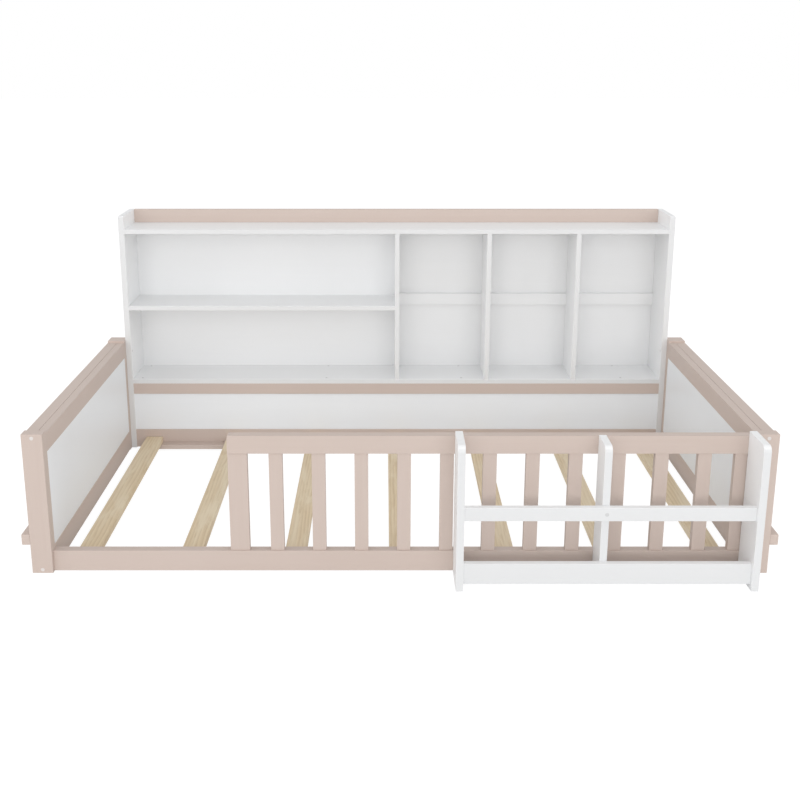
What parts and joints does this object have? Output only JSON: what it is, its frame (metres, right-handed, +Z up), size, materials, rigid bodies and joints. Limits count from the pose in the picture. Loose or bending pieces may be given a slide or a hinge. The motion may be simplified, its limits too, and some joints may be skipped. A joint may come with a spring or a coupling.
{
  "type": "platform bed",
  "caption": "Low platform bed for a single mattress, with panelled ends, a slatted guard and book rack along the front, and a bookcase along the back.",
  "frame": {"origin": "on the floor, under the middle of the outer box", "axes": "+X along the bed to the right as seen from the guard, +Y from the guard towards the bookcase, +Z up"},
  "size_m": [2.083, 1.405, 0.8395],
  "materials": {
    "pink_paint": "dusty pink satin paint on wood",
    "white_paint": "white satin paint on wood board",
    "slat_pine": "bare planed pine",
    "dowel_beech": "bare beech",
    "fastener_steel": "zinc plated",
    "cap_plastic": "pale pressed-in cap"
  },
  "bodies": {
    "root": {"barrel_nuts": "fastener_steel", "bookcase_back_batten": "white_paint", "bookcase_bottom_board": "white_paint", "bookcase_gallery_rail": "pink_paint", "bookcase_left_shelf": "white_paint", "bookcase_left_side": "white_paint", "bookcase_lower_back_panel": "white_paint", "bookcase_main_divider": "white_paint", "bookcase_rear_stretcher": "white_paint", "bookcase_right_side": "white_paint", "bookcase_second_divider": "white_paint", "bookcase_third_divider": "white_paint", "bookcase_top_board": "white_paint", "bookcase_upper_back_panel": "white_paint", "dowels": "dowel_beech", "end_frame_screws": "fastener_steel", "front_side_rail": "pink_paint", "front_slat_ledger": "pink_paint", "guard_balusters": "pink_paint", "guard_left_end_post": "pink_paint", "guard_right_end_post": "pink_paint", "guard_top_rail": "pink_paint", "joint_bolts": "fastener_steel", "ledger_screws": "fastener_steel", "left_bottom_inner_strip": "pink_paint", "left_bottom_rail": "pink_paint", "left_front_post": "pink_paint", "left_infill_panel": "white_paint", "left_outer_batten": "pink_paint", "left_rear_post": "pink_paint", "left_top_inner_strip": "pink_paint", "left_top_rail": "pink_paint", "panel_pins": "fastener_steel", "rack_floor_board": "white_paint", "rack_left_upright": "white_paint", "rack_lower_board": "white_paint", "rack_middle_upright": "white_paint", "rack_right_upright": "white_paint", "rack_upper_slat": "white_paint", "rear_infill_panel": "white_paint", "rear_lower_rail": "pink_paint", "rear_slat_ledger": "pink_paint", "rear_upper_rail": "pink_paint", "right_bottom_inner_strip": "pink_paint", "right_bottom_rail": "pink_paint", "right_front_post": "pink_paint", "right_infill_panel": "white_paint", "right_outer_batten": "pink_paint", "right_rear_post": "pink_paint", "right_top_inner_strip": "pink_paint", "right_top_rail": "pink_paint", "screw_caps": "cap_plastic", "slat_1": "slat_pine", "slat_2": "slat_pine", "slat_3": "slat_pine", "slat_4": "slat_pine", "slat_5": "slat_pine", "slat_6": "slat_pine", "slat_7": "slat_pine", "wood_screws": "fastener_steel"}
  },
  "joints": []
}
